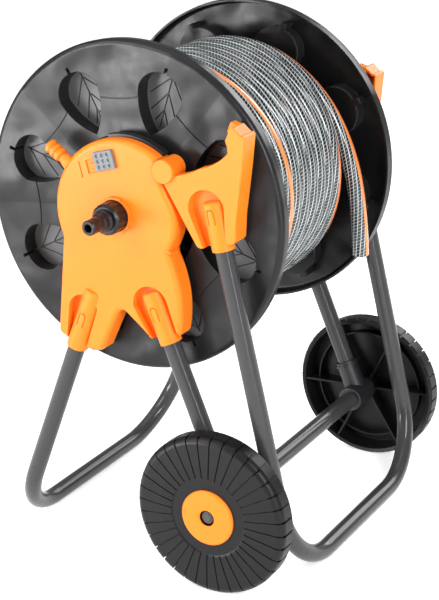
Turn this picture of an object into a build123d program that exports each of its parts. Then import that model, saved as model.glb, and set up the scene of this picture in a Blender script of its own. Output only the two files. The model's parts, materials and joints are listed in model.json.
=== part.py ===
from build123d import *
import math
import os

# Garden hose reel cart: a hose drum between two moulded side brackets, carried on a
# bent tube stand at the front and two wheels at the back, with a U-shaped handle that
# folds down behind the reel. All sizes are in millimetres.
#
# Frame: +Z up, Z = 0 on the ground. X runs fore and aft, with the wheels and the folded
# handle at +X and the front stand at -X. Y is the reel axis: the water inlet is at -Y
# ("near") and the crank at +Y ("far"). Side profiles are drawn on planes square to Y whose
# own x is measured from the reel axis and whose own y is the height above the ground.

# ---------------------------------------------------------------- driving dimensions
REEL_X = -7.5                  # reel axis, fore and aft
REEL_Z = 409.0                 # reel axis above the ground

TUBE_R = 10.0                  # all frame tubes are 20 mm round
SIDE_Y = 166.0                 # centre plane of each pair of legs
SLEEVE_R = 12.5                # moulded sleeve round a tube end
SLEEVE_BORE_R = 10.03

FLANGE_R = 187.5
FLANGE_FACE = 143.0            # outer face of the web, from the middle
FLANGE_WALL = 2.5
RIM_BACK = 127.0               # the rim band turns inwards as far as this
BOWL_R = 84.0                  # central bowl of the flange
BOWL_FLOOR = 120.5
LEAF_COUNT = 8
LEAF_START = 24.7              # angle of the first leaf, degrees
LEAF_FLOOR = 123.0

DRUM_R = 92.0
DRUM_HALF = 118.0
HOSE_R = 10.0
LAYER_R = (102.0, 120.5, 139.5)    # centre radii of the three layers of hose

BRACKET_BACK = 150.0
BRACKET_FACE = 174.0
BRACKET_WALL = 3.0
DOME_X = 5.0                   # centre of the bracket's round head, from the reel axis
DOME_R = 84.5
PIVOT_X = 65.2                 # handle pivot, from the reel axis
PIVOT_Z = 462.8
PIVOT_DISC_R = 13.3
LAP_Y = 160.5                  # the wings lap over the bracket's lugs here

HANDLE_UP = 134.0              # degrees from folded to raised
LOCK_TRAVEL = 8.0              # degrees that the lock bar turns about the dome's centre
BAR_R = 87.5                   # outer radius of the lock bar
BAR_START = 52.0               # the bar's ends, degrees round the dome's centre
BAR_END = 95.0
NOSE_END = 101.5
HOOK_START = 106.0             # the raised wing's tooth, which the nose locks over
HOOK_END = 114.5
BUTTON_ANGLE = 102.0           # the lock's button, when the handle is free to turn
BUTTON_R = 62.4

WHEEL_X = 115.5                # wheel axle, from the reel axis
WHEEL_Z = 91.0
WHEEL_R = 91.0
WHEEL_IN = 187.0               # inner and outer faces of a wheel, from the middle
WHEEL_OUT = 215.0
LUG_COUNT = 36
AXLE_R = 5.0
RUNNING = 0.06                 # radial clearance of every turning fit

JOURNAL_R = 14.0               # the reel's hubs turn in the brackets on these
NUT_R = 17.6                   # collar nut that holds the water inlet
SEAT_R = 21.0
CRANK_REACH = 105.0
CRANK_ANGLE = 200.0            # where the crank points at rest, degrees from +X towards +Z

REEL_AXIS = Axis((REEL_X, 0, REEL_Z), (0, 1, 0))
WHEEL_AXIS = Axis((REEL_X + WHEEL_X, 0, WHEEL_Z), (0, 1, 0))

# Half-section planes: own x along +Y, own y away from the axis.
REEL_SECTION = Plane(origin=(REEL_X, 0, REEL_Z), x_dir=(0, 1, 0), z_dir=(1, 0, 0))
WHEEL_SECTION = Plane(origin=(REEL_X + WHEEL_X, 0, WHEEL_Z), x_dir=(0, 1, 0), z_dir=(1, 0, 0))


def side_plane(y):
    """Plane square to Y, facing -Y, for profiles drawn as (distance from reel axis, height)."""
    return Plane(origin=(REEL_X, y, 0), x_dir=(1, 0, 0), z_dir=(0, -1, 0))


def centred_plane(x, y, z):
    """Plane square to Y, facing -Y, with its origin x from the reel axis and z above ground."""
    return Plane(origin=(REEL_X + x, y, z), x_dir=(1, 0, 0), z_dir=(0, -1, 0))


def polar(centre_x, centre_z, radius, angle):
    """Point at a radius and an angle in degrees about a centre in a side profile."""
    turn = math.radians(angle)
    return (centre_x + radius * math.cos(turn), centre_z + radius * math.sin(turn))


def turned(point, angle):
    """Side-profile point carried round the handle pivot by an angle in degrees."""
    dx, dz = point[0] - PIVOT_X, point[1] - PIVOT_Z
    turn = math.radians(angle)
    x = PIVOT_X + dx * math.cos(turn) - dz * math.sin(turn)
    return (x, PIVOT_Z + dx * math.sin(turn) + dz * math.cos(turn))


def distance(start, end):
    """Distance between two side-profile points."""
    return math.hypot(end[0] - start[0], end[1] - start[1])


def along(start, end, reach):
    """Point at a distance from start on the line towards end."""
    share = reach / distance(start, end)
    return (start[0] + share * (end[0] - start[0]), start[1] + share * (end[1] - start[1]))


def leg_plane(start, end, y):
    """Plane at start that faces along the tube towards end, both given in the side profile."""
    origin = (REEL_X + start[0], y, start[1])
    return Plane(origin=origin, x_dir=(0, 1, 0), z_dir=(end[0] - start[0], 0, end[1] - start[1]))


def finish(builder, name):
    """Label a finished sub-part and write it as parts/NAME.step."""
    builder.part.label = name
    export_step(builder.part, f"parts/{name}.step")


os.makedirs("parts", exist_ok=True)

# ---------------------------------------------------------------- leg lines
# Centre lines of the tubes in the side profile, as (distance from reel axis, height).
FRONT_TOP = (-40.2, 315.0)
FRONT_KNEE = (-77.5, 234.4)
FRONT_FOOT = (-181.5, TUBE_R)
FRONT_FOOT_Y = 160.5
FRONT_BEND_R = 77.0
REAR_TOP = (36.0, 321.0)
REAR_FOOT = along((WHEEL_X, WHEEL_Z), REAR_TOP, 19.5)
HANDLE_TOP = (119.9, 430.0)
HANDLE_FOOT = (190.5, TUBE_R)
HANDLE_BEND_R = 84.0

# ---------------------------------------------------------------- side bracket, near
# A round head that carries the reel, with two feet that sleeve the legs. The moulding is
# open at the back, towards the reel, and ribbed inside.
FRONT_SLEEVE_END = along(FRONT_TOP, FRONT_KNEE, 74.0)
FRONT_SLEEVE_TOP = along(FRONT_TOP, FRONT_KNEE, -3.0)
REAR_SLEEVE_END = along(REAR_TOP, REAR_FOOT, 57.0)
REAR_SLEEVE_TOP = along(REAR_TOP, REAR_FOOT, -3.0)

with BuildSketch() as bracket_outline:
    with BuildLine():
        dome_left = (-73.8, 378.5)
        dome_top = polar(DOME_X, REEL_Z, DOME_R, 90)
        dome_right = polar(DOME_X, REEL_Z, DOME_R, 52)
        ThreePointArc(dome_left, polar(DOME_X, REEL_Z, DOME_R, 140), dome_top)
        ThreePointArc(dome_top, polar(DOME_X, REEL_Z, DOME_R, 70), dome_right)
        Polyline(dome_right, (60.5, 447), (70, 427))
        ThreePointArc((70, 427), (74.5, 408), (71.5, 389))
        Line((71.5, 389), (62.4, 370))
        ThreePointArc((62.4, 370), (74.6, 325), (69.5, 276.5))
        Polyline((69.5, 276.5), (33, 269.3), (-4.6, 302.8), (-34, 248), (-47, 245.5))
        Polyline((-47, 245.5), (-91.5, 262.5), dome_left)
    make_face()
    for corner, radius in (
        ((-91.5, 262.5), 8),
        ((69.5, 276.5), 8),
        ((33, 269.3), 8),
        ((-4.6, 302.8), 7),
        ((-34, 248), 6),
        ((62.4, 370), 12),
        (dome_left, 25),
    ):
        fillet(bracket_outline.vertices().sort_by_distance(corner)[0], radius=radius)
BRACKET = bracket_outline.sketch

with BuildSketch() as front_arch:
    with BuildLine():
        Line((-82.5, 240), (-72, 299))
        ThreePointArc((-72, 299), (-54, 312), (-35, 296))
        Polyline((-35, 296), (-59.4, 236), (-82.5, 240))
    make_face()
with BuildSketch() as rear_arch:
    with BuildLine():
        Line((40, 259), (14, 306))
        ThreePointArc((14, 306), (31, 330.6), (56.5, 317))
        Polyline((56.5, 317), (71.5, 266), (40, 259))
    make_face()
ARCHES = (front_arch.sketch, rear_arch.sketch)

with BuildSketch() as bracket_hollow:
    add(BRACKET)
    offset(amount=-BRACKET_WALL)

with BuildSketch() as arch_pans:
    for arch in ARCHES:
        offset(arch, amount=2.5, mode=Mode.ADD)
    add(BRACKET, mode=Mode.INTERSECT)

# Slits round the snap tongues that hold the tubes in their sleeves.
LATCH_W = 8.5
LATCH_LENGTH = 17.0
LATCH_FLOOR = SIDE_Y + SLEEVE_BORE_R + 0.8


def latch_slit(start, end, reach):
    """Inverted-U slit whose top is at a distance from start on the leg line towards end."""
    top = along(start, end, reach)
    down = math.degrees(math.atan2(end[1] - start[1], end[0] - start[0]))
    with BuildSketch() as slit:
        with Locations(Location((top[0], top[1], 0), (0, 0, down))):
            for width, mode in ((LATCH_W, Mode.ADD), (LATCH_W - 2.2, Mode.SUBTRACT)):
                with Locations((LATCH_W / 2, 0)):
                    Circle(width / 2, mode=mode)
                with Locations(((LATCH_W / 2 + LATCH_LENGTH) / 2, 0)):
                    Rectangle(LATCH_LENGTH - LATCH_W / 2, width, mode=mode)
    return slit.sketch


with BuildPart() as bracket_body:
    with BuildSketch(side_plane(-BRACKET_BACK)):
        add(BRACKET)
    extrude(amount=BRACKET_FACE - BRACKET_BACK)
    fillet(bracket_body.faces().sort_by(Axis.Y)[0].edges(), radius=6)
    # the hollow at the back, then the pans of the two arched windows
    with BuildSketch(side_plane(-BRACKET_BACK)):
        add(bracket_hollow.sketch)
    extrude(amount=BRACKET_FACE - BRACKET_BACK - BRACKET_WALL, mode=Mode.SUBTRACT)
    with BuildSketch(side_plane(-161)):
        add(arch_pans.sketch)
    extrude(amount=BRACKET_FACE - BRACKET_WALL - 161)
    with BuildSketch(side_plane(-164)):
        for arch in ARCHES:
            add(arch)
    extrude(amount=15, mode=Mode.SUBTRACT)
    # ribs from the bearing out to the wall
    with BuildSketch(centred_plane(0, -153, REEL_Z)):
        for angle in (150, 195, 235, 290, 330):
            with Locations(Rotation(0, 0, angle)):
                with Locations((45, 0)):
                    Rectangle(62, 2.5)
        Circle(22)
    extrude(amount=BRACKET_FACE - 153 - 1)
    # sleeves for the leg tubes, the handle's lug and the lap cut in front of it
    for end, top in ((FRONT_SLEEVE_END, FRONT_SLEEVE_TOP), (REAR_SLEEVE_END, REAR_SLEEVE_TOP)):
        with BuildSketch(leg_plane(end, top, -SIDE_Y)):
            Circle(SLEEVE_R)
        extrude(amount=distance(end, top))
        fillet(bracket_body.edges().filter_by(GeomType.CIRCLE).sort_by_distance(
            (REEL_X + top[0], -SIDE_Y - SLEEVE_R, top[1]))[0], radius=3)
    with BuildSketch(centred_plane(PIVOT_X, -LAP_Y, PIVOT_Z)):
        Circle(PIVOT_DISC_R + 0.7)
    extrude(amount=20, mode=Mode.SUBTRACT)
    with BuildSketch(centred_plane(PIVOT_X, -BRACKET_BACK, PIVOT_Z)):
        Circle(PIVOT_DISC_R - 0.3)
    extrude(amount=LAP_Y - BRACKET_BACK)
    # bores: journal, handle pin and the two leg tubes
    with BuildSketch(centred_plane(0, 0, REEL_Z)):
        Circle(JOURNAL_R + RUNNING)
    extrude(amount=200, mode=Mode.SUBTRACT)
    with BuildSketch(centred_plane(PIVOT_X, 0, PIVOT_Z)):
        Circle(4 + RUNNING)
    extrude(amount=200, mode=Mode.SUBTRACT)
    for end, top in ((FRONT_SLEEVE_END, FRONT_TOP), (REAR_SLEEVE_END, REAR_TOP)):
        with BuildSketch(leg_plane(end, top, -SIDE_Y)):
            Circle(SLEEVE_BORE_R)
        extrude(amount=distance(end, top), mode=Mode.SUBTRACT)
    # room for the lock bar behind the rim, and the button's slot through the face
    with BuildSketch(centred_plane(DOME_X, -BRACKET_BACK, REEL_Z)):
        with BuildLine():
            inner, outer = 69.5, 96.0
            start, end = BAR_START - 0.4, HOOK_END + 2
            CenterArc((0, 0), outer, start, end - start)
            CenterArc((0, 0), inner, start, end - start)
            Line(polar(0, 0, inner, start), polar(0, 0, outer, start))
            Line(polar(0, 0, inner, end), polar(0, 0, outer, end))
        make_face()
    extrude(amount=LAP_Y - BRACKET_BACK, mode=Mode.SUBTRACT)
    with BuildSketch(centred_plane(DOME_X, -165, REEL_Z)):
        with Locations(Rotation(0, 0, BUTTON_ANGLE + LOCK_TRAVEL / 2)):
            with Locations((BUTTON_R, 0)):
                Rectangle(16, 21)
    extrude(amount=12, mode=Mode.SUBTRACT)
    # beside the slot, a shallow pocket with the detent's tongue, and the end-of-travel mark
    with BuildSketch(centred_plane(DOME_X, -BRACKET_FACE + 1.5, REEL_Z)):
        with Locations(Rotation(0, 0, BUTTON_ANGLE)):
            with Locations((BUTTON_R - 4, 19.5)):
                Rectangle(15, 13)
            with Locations((BUTTON_R - 6, 35)):
                Rectangle(18, 1.2)
    extrude(amount=5, mode=Mode.SUBTRACT)
    with BuildSketch(centred_plane(DOME_X, -BRACKET_FACE + 1.6, REEL_Z)):
        with Locations(Rotation(0, 0, BUTTON_ANGLE)):
            with Locations((BUTTON_R - 4, 18)):
                RectangleRounded(6, 9, 2)
    extrude(amount=1.4)
    # snap slits over the leg tubes, and the raised seat round the water inlet
    with BuildSketch(side_plane(-LATCH_FLOOR)):
        add(latch_slit(FRONT_TOP, FRONT_KNEE, 26))
        add(latch_slit(REAR_TOP, REAR_FOOT, 13))
    extrude(amount=5, mode=Mode.SUBTRACT)
    with BuildSketch(centred_plane(0, -BRACKET_FACE + 0.5, REEL_Z)):
        Circle(SEAT_R)
        Circle(NUT_R + 0.6, mode=Mode.SUBTRACT)
        with PolarLocations(SEAT_R + 0.2, 12):
            Circle(1.1, mode=Mode.SUBTRACT)
    extrude(amount=4.5)

with BuildPart() as side_bracket_far:
    add(mirror(bracket_body.part, about=Plane.XZ))
finish(side_bracket_far, "side_bracket_far")

# The near bracket also carries a ribbed spigot, where the hose-end coupling is parked.
DOCK_ANGLE = 142.0
DOCK_FOOT = polar(DOME_X, REEL_Z, DOME_R - 2.5, DOCK_ANGLE)
DOCK_TIP = polar(DOME_X, REEL_Z, 116, DOCK_ANGLE)
with BuildPart() as side_bracket_near:
    add(bracket_body.part)
    with BuildSketch(leg_plane(DOCK_FOOT, DOCK_TIP, -165)) as dock_foot:
        Circle(9)
    with BuildSketch(dock_foot.workplanes[0].offset(14)):
        Circle(5.5)
    loft()
    with BuildSketch(dock_foot.workplanes[0].offset(14)):
        Circle(6.8)
    extrude(amount=distance(DOCK_FOOT, DOCK_TIP) - 14)
    for step in (15, 22, 29):
        with BuildSketch(dock_foot.workplanes[0].offset(step)):
            Circle(8)
        extrude(amount=4)
finish(side_bracket_near, "side_bracket_near")

# ---------------------------------------------------------------- legs, axle and tees
with BuildPart() as front_stand:
    with BuildLine() as stand_path:
        corners = []
        for side in (-1, 1):
            run = [FRONT_TOP + (SIDE_Y,), FRONT_KNEE + (SIDE_Y,), FRONT_FOOT + (FRONT_FOOT_Y,)]
            run = [(REEL_X + x, side * y, z) for x, z, y in run]
            corners += run if side < 0 else reversed(run)
        FilletPolyline(*corners, radius=[200, FRONT_BEND_R, FRONT_BEND_R, 200])
    with BuildSketch(Plane(origin=stand_path.line @ 0, z_dir=stand_path.line % 0)):
        Circle(TUBE_R)
    sweep(path=stand_path.line)
finish(front_stand, "front_stand")

for side, name in ((-1, "rear_leg_near"), (1, "rear_leg_far")):
    with BuildPart() as rear_leg:
        with BuildSketch(leg_plane(REAR_TOP, REAR_FOOT, side * SIDE_Y)):
            Circle(TUBE_R)
        extrude(amount=distance(REAR_TOP, REAR_FOOT))
    finish(rear_leg, name)

TEE_IN, TEE_OUT = 142.0, 185.0
AXLE_CENTRE = (WHEEL_X, WHEEL_Z)
for side, name in ((-1, "axle_tee_near"), (1, "axle_tee_far")):
    with BuildPart() as axle_tee:
        with BuildSketch(centred_plane(WHEEL_X, side * TEE_IN, WHEEL_Z)):
            Circle(15)
        extrude(amount=-side * (TEE_OUT - TEE_IN))
        tee_plane = leg_plane(AXLE_CENTRE, REAR_TOP, side * SIDE_Y)
        with BuildSketch(tee_plane):
            Circle(13)
        extrude(amount=44)
        with BuildSketch(tee_plane.offset(38)):
            Circle(14.2)
        extrude(amount=3)
        fillet(axle_tee.faces().filter_by(Axis.Y).edges(), radius=1.5)
        with BuildSketch(tee_plane.offset(distance(AXLE_CENTRE, REAR_FOOT))):
            Circle(SLEEVE_BORE_R)
        extrude(amount=60, mode=Mode.SUBTRACT)
        with BuildSketch(centred_plane(WHEEL_X, side * TEE_IN, WHEEL_Z)):
            Circle(SLEEVE_BORE_R)
        extrude(amount=-side * 14, mode=Mode.SUBTRACT)
        with BuildSketch(centred_plane(WHEEL_X, 0, WHEEL_Z)):
            Circle(AXLE_R + 0.03)
        extrude(amount=-side * 200, mode=Mode.SUBTRACT)
    finish(axle_tee, name)

with BuildPart() as axle_tube:
    with BuildSketch(centred_plane(WHEEL_X, TEE_IN + 13.9, WHEEL_Z)):
        Circle(TUBE_R)
        Circle(AXLE_R + 1, mode=Mode.SUBTRACT)
    extrude(amount=2 * (TEE_IN + 13.9))
finish(axle_tube, "axle_tube")

AXLE_END = 216.5
with BuildPart() as axle_rod:
    with BuildSketch(centred_plane(WHEEL_X, AXLE_END, WHEEL_Z)):
        Circle(AXLE_R)
    extrude(amount=2 * AXLE_END)
    chamfer(axle_rod.faces().filter_by(Axis.Y).edges(), length=1)
finish(axle_rod, "axle_rod")

# Push-on caps that keep the wheels on the rod, and the washers behind the wheels.
with BuildPart() as axle_nuts:
    with BuildSketch(WHEEL_SECTION):
        for side in (-1, 1):
            with BuildLine():
                Polyline(
                    (side * 211.9, AXLE_R + 0.02), (side * 211.9, 8), (side * 213.4, 8),
                    (side * 215.4, 6.6), (side * 215.4, AXLE_R + 0.02), close=True,
                )
            make_face()
    revolve(axis=WHEEL_AXIS)
finish(axle_nuts, "axle_nuts")

with BuildPart() as axle_washers:
    for side in (-1, 1):
        with BuildSketch(centred_plane(WHEEL_X, side * TEE_OUT, WHEEL_Z)):
            Circle(10)
            Circle(AXLE_R + 0.03, mode=Mode.SUBTRACT)
        extrude(amount=-side * 1.4)
finish(axle_washers, "axle_washers")

# ---------------------------------------------------------------- wheels
# Moulded wheel, drawn for the far side: hub tube, ribbed web, lugged tread.
HUB_FACE = 211.5
with BuildPart() as wheel_far:
    with BuildSketch(WHEEL_SECTION):
        with BuildLine():
            Polyline(
                (WHEEL_IN, AXLE_R + RUNNING), (WHEEL_IN, 12), (207, 12), (208, 45),
                (211, 82), (188, 84.5), (WHEEL_IN, 88.5),
            )
            Polyline((WHEEL_IN, 88.5), (191, WHEEL_R), (204, WHEEL_R))
            ThreePointArc((204, WHEEL_R), (211.4, 88.6), (WHEEL_OUT - 1, 82))
            Polyline(
                (WHEEL_OUT - 1, 82), (WHEEL_OUT, 60), (WHEEL_OUT, 46), (WHEEL_OUT - 1, 44),
                (WHEEL_OUT - 1, 31.5), (HUB_FACE, 31.5), (HUB_FACE, AXLE_R + RUNNING),
                (WHEEL_IN, AXLE_R + RUNNING),
            )
        make_face()
    revolve(axis=WHEEL_AXIS)
    with BuildSketch(centred_plane(WHEEL_X, 208, WHEEL_Z)):
        with PolarLocations(48, 6):
            Rectangle(74, 2.5)
        for ring in (47, 70):
            Circle(ring)
            Circle(ring - 1.8, mode=Mode.SUBTRACT)
    extrude(amount=10)
    with BuildSketch(centred_plane(WHEEL_X, 208, WHEEL_Z)):
        with PolarLocations(48, 6):
            Rectangle(74, 2.5)
    extrude(amount=19)
    # slits that part the lugs on the face and the shoulder, and their notches in the tread
    for lug in range(LUG_COUNT):
        lug_plane = WHEEL_SECTION.rotated((0, 360 * (lug + 0.5) / LUG_COUNT, 0))
        with BuildSketch(lug_plane):
            with BuildLine():
                Polyline((204, 89), (209.2, 86.8), (212.7, 81), (213.6, 60), (213.4, 45))
                Polyline((213.4, 45), (218, 45), (218, 96), (204, 96), (204, 89))
            make_face()
    extrude(amount=0.7, both=True, mode=Mode.SUBTRACT)
    for lug in range(LUG_COUNT):
        lug_plane = WHEEL_SECTION.rotated((0, 360 * (lug + 0.5) / LUG_COUNT, 0))
        with BuildSketch(lug_plane):
            with BuildLine():
                Polyline((186, 89.3), (204, 89.3), (210, 87), (212, 96), (186, 96), close=True)
            make_face()
    extrude(amount=1.4, both=True, mode=Mode.SUBTRACT)
finish(wheel_far, "wheel_far")

with BuildPart() as wheel_near:
    add(mirror(wheel_far.part, about=Plane.XZ))
finish(wheel_near, "wheel_near")

for side, name in ((-1, "hub_cap_near"), (1, "hub_cap_far")):
    with BuildPart() as hub_cap:
        with BuildSketch(WHEEL_SECTION):
            with BuildLine():
                Polyline(
                    (side * HUB_FACE, 28), (side * HUB_FACE, 31.4), (side * 216, 31.4), (side * 217.6, 29.6),
                    (side * 218, 20), (side * 218, 10.5), (side * 217, 9), (side * 215.8, 9), (side * 215.8, 28),
                    close=True,
                )
            make_face()
        revolve(axis=WHEEL_AXIS)
    finish(hub_cap, name)

# ---------------------------------------------------------------- flanges
# Thin moulded disc with a turned-in rim, a central bowl and eight leaf-shaped pockets
# whose backs stand in towards the hose. Drawn for the far side.
with BuildSketch() as leaf:
    with BuildLine():
        ThreePointArc((88.5, 0), (111, 18.9), (137, 27.7))
        ThreePointArc((137, 27.7), (153, 20.8), (161.5, 1.8))
        Polyline((161.5, 1.8), (168.5, 1.8), (168.5, 0), (88.5, 0))
    make_face()
    mirror(about=Plane.XZ)
with BuildSketch() as leaf_back:
    add(leaf.sketch)
    offset(amount=2.2)

# Veins: a midrib and three pairs that leave it towards the leaf's point.
with BuildSketch() as leaf_veins:
    with BuildLine():
        Line((93, 0), (158, 0))
        for start, across, tip in ((154, 22.5, 127), (135, 16, 109.5), (115, 8.5, 99.5)):
            Line((start, 0), (tip, across))
            Line((start, 0), (tip, -across))
    trace(line_width=1.3)

# Step line between two leaves, dipping towards the hub.
SCALLOP_R = 127.0
with BuildSketch() as scallop:
    with BuildLine():
        ThreePointArc(polar(0, 0, SCALLOP_R, -11.4), (122.5, 0), polar(0, 0, SCALLOP_R, 11.4))
    trace(line_width=1.3)

with BuildPart() as flange_far:
    with BuildSketch(REEL_SECTION):
        web_in = FLANGE_FACE - FLANGE_WALL
        with BuildLine():
            Polyline(
                (DRUM_HALF, JOURNAL_R), (DRUM_HALF, BOWL_R), (web_in, BOWL_R + 1), (web_in, 180.5),
            )
            ThreePointArc((web_in, 180.5), (138.5, 184.2), (134, 185))
            Polyline((134, 185), (RIM_BACK, 184.4), (RIM_BACK, 187), (135, FLANGE_R))
            ThreePointArc((135, FLANGE_R), (141, 186), (FLANGE_FACE, 181.5))
            Polyline(
                (FLANGE_FACE, 181.5), (FLANGE_FACE, BOWL_R - 1), (BOWL_FLOOR, BOWL_R - 3), (BOWL_FLOOR, 20),
                (147, 19), (147, JOURNAL_R), (DRUM_HALF, JOURNAL_R),
            )
        make_face()
    revolve(axis=REEL_AXIS)
    with BuildSketch(centred_plane(0, BOWL_FLOOR, REEL_Z)):
        with PolarLocations(0, LEAF_COUNT, start_angle=LEAF_START):
            add(leaf_back.sketch)
        Circle(BOWL_R, mode=Mode.SUBTRACT)
    extrude(amount=BOWL_FLOOR - web_in)
    with BuildSketch(centred_plane(0, LEAF_FLOOR, REEL_Z)):
        with PolarLocations(0, LEAF_COUNT, start_angle=LEAF_START):
            add(leaf.sketch)
    extrude(amount=-30, mode=Mode.SUBTRACT)
    with BuildSketch(centred_plane(0, LEAF_FLOOR - 0.9, REEL_Z)):
        with PolarLocations(0, LEAF_COUNT, start_angle=LEAF_START):
            add(leaf_veins.sketch)
    extrude(amount=-2, mode=Mode.SUBTRACT)
    with BuildSketch(centred_plane(0, FLANGE_FACE - 0.9, REEL_Z)):
        with PolarLocations(0, LEAF_COUNT, start_angle=LEAF_START + 180 / LEAF_COUNT):
            add(scallop.sketch)
    extrude(amount=-3, mode=Mode.SUBTRACT)
    with BuildSketch(centred_plane(0, BOWL_FLOOR, REEL_Z)):
        with PolarLocations(50, 8, start_angle=10):
            Rectangle(64, 2.2)
        Circle(19, mode=Mode.SUBTRACT)
    extrude(amount=-16)
finish(flange_far, "flange_far")

with BuildPart() as flange_near:
    add(mirror(flange_far.part, about=Plane.XZ))
finish(flange_near, "flange_near")

# ---------------------------------------------------------------- drum, hubs and water way
OUTLET_Y = -95.0
OUTLET_ANGLE = 60.0
OUTLET_DIR = (math.cos(math.radians(OUTLET_ANGLE)), 0, math.sin(math.radians(OUTLET_ANGLE)))
OUTLET_PLANE = Plane(origin=(REEL_X, OUTLET_Y, REEL_Z), x_dir=(0, 1, 0), z_dir=OUTLET_DIR)
with BuildPart() as drum_core:
    with BuildSketch(REEL_SECTION):
        with BuildLine():
            Polyline(
                (-DRUM_HALF, 62), (-DRUM_HALF, DRUM_R), (DRUM_HALF, DRUM_R), (DRUM_HALF, 62),
                (DRUM_HALF - 3, 62), (DRUM_HALF - 3, DRUM_R - 3), (3 - DRUM_HALF, DRUM_R - 3),
                (3 - DRUM_HALF, 62), close=True,
            )
        make_face()
    revolve(axis=REEL_AXIS)
    with BuildSketch(OUTLET_PLANE):
        Circle(12.2)
    extrude(amount=100, mode=Mode.SUBTRACT)
finish(drum_core, "drum_core")

# Hollow inlet hub: journal in the near bracket, socket for the inlet's spigot.
with BuildPart() as hub_near:
    with BuildSketch(REEL_SECTION):
        with BuildLine():
            Polyline(
                (-172.5, 9.56), (-172.5, JOURNAL_R), (-DRUM_HALF, JOURNAL_R), (-DRUM_HALF, 20), (-114, 20),
                (-114, 11), (-82, 11), (-82, 0), (-86, 0), (-86, 5), (-148, 5), (-148, 9.56), close=True,
            )
        make_face()
    revolve(axis=REEL_AXIS)
    with BuildSketch(OUTLET_PLANE):
        Circle(5)
    extrude(amount=20, mode=Mode.SUBTRACT)
finish(hub_near, "hub_near")

# Elbow from the hub to the drum's surface, where the hose is clamped on.
with BuildPart() as outlet_elbow:
    with BuildSketch(OUTLET_PLANE):
        Circle(14)
    extrude(amount=30)
    with BuildSketch(OUTLET_PLANE.offset(30)):
        Circle(8)
    extrude(amount=DRUM_R - 30.5)
    with BuildSketch(centred_plane(0, 0, REEL_Z)):
        Circle(11.03)
    extrude(amount=200, mode=Mode.SUBTRACT)
    with BuildSketch(OUTLET_PLANE):
        Circle(5)
    extrude(amount=100, mode=Mode.SUBTRACT)
finish(outlet_elbow, "outlet_elbow")

with BuildPart() as hose_clamp:
    with BuildSketch(OUTLET_PLANE.offset(70)):
        Circle(12)
        Circle(8.03, mode=Mode.SUBTRACT)
    extrude(amount=DRUM_R - 71.2)
    with BuildSketch(OUTLET_PLANE.offset(72)):
        with PolarLocations(12, 12):
            Circle(1)
    extrude(amount=14, mode=Mode.SUBTRACT)
finish(hose_clamp, "hose_clamp")

# Far hub: journal in the far bracket and a square for the crank.
CRANK_IN, CRANK_OUT = 180.5, 191.5
with BuildPart() as hub_far:
    with BuildSketch(REEL_SECTION):
        with BuildLine():
            Polyline(
                (110, 0), (110, 20), (DRUM_HALF, 20), (DRUM_HALF, JOURNAL_R), (CRANK_IN - 0.5, JOURNAL_R),
                (CRANK_IN - 0.5, 0), close=True,
            )
        make_face()
    revolve(axis=REEL_AXIS)
    with BuildSketch(centred_plane(0, CRANK_IN - 0.5, REEL_Z)):
        Rectangle(16, 16, rotation=CRANK_ANGLE)
    extrude(amount=-8.5)
    with BuildSketch(centred_plane(0, CRANK_OUT, REEL_Z)):
        Circle(2.5)
    extrude(amount=24, mode=Mode.SUBTRACT)
finish(hub_far, "hub_far")

# ---------------------------------------------------------------- hose
# The wound hose as one stepped ring: the outer layer stops one and a half turns short.
OUTER_LAYER_END = 85.5
with BuildPart() as hose_coil:
    with BuildSketch(REEL_SECTION):
        step_r = LAYER_R[2] - HOSE_R
        with BuildLine():
            Polyline(
                (-117.6, DRUM_R), (-117.6, step_r), (-119.7, step_r), (-119.7, LAYER_R[2] + HOSE_R),
                (OUTER_LAYER_END, LAYER_R[2] + HOSE_R), (OUTER_LAYER_END, step_r), (117.6, step_r),
                (117.6, DRUM_R), close=True,
            )
        make_face()
    revolve(axis=REEL_AXIS)
finish(hose_coil, "hose_coil")

# Last half turn over the top and the free end that hangs at the back.
TURN_REACH = LAYER_R[2] / math.cos(math.radians(15))
tail_points = [
    (*polar(0, REEL_Z, TURN_REACH, angle), y)
    for angle, y in ((187, 84.5), (157, 86.5), (127, 88.5), (97, 91), (67, 93.5), (37, 95.5))
]
tail_points += [(147, 437, 97), (160.5, 364, 100.5), (157.5, 297, 104)]
tail_points = [(REEL_X + x, y, z) for x, z, y in tail_points]
tail_radii = []
for before, here, after in zip(tail_points, tail_points[1:], tail_points[2:]):
    run_in = Vector(*here) - Vector(*before)
    run_out = Vector(*after) - Vector(*here)
    half_turn = math.radians(run_in.get_angle(run_out)) / 2
    tail_radii.append(0.45 * min(run_in.length, run_out.length) / math.tan(half_turn))
with BuildPart() as hose_tail:
    with BuildLine() as tail_path:
        FilletPolyline(*tail_points, radius=tail_radii)
    with BuildSketch(Plane(origin=tail_path.line @ 0, z_dir=tail_path.line % 0)):
        Circle(HOSE_R)
    sweep(path=tail_path.line)
finish(hose_tail, "hose_tail")
print("hose tail radii", [round(radius) for radius in tail_radii])
tail_length = tail_path.wire().length
print("hose tail length", round(tail_length), "volume ratio", round(
    hose_tail.part.volume / (tail_length * math.pi * HOSE_R ** 2), 4))
coil_turns = (10.7, 11, 9.9)
coil_length = sum(2 * math.pi * radius * turns for radius, turns in zip(LAYER_R, coil_turns))
print("hose length in all", round(coil_length + tail_length))

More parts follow.
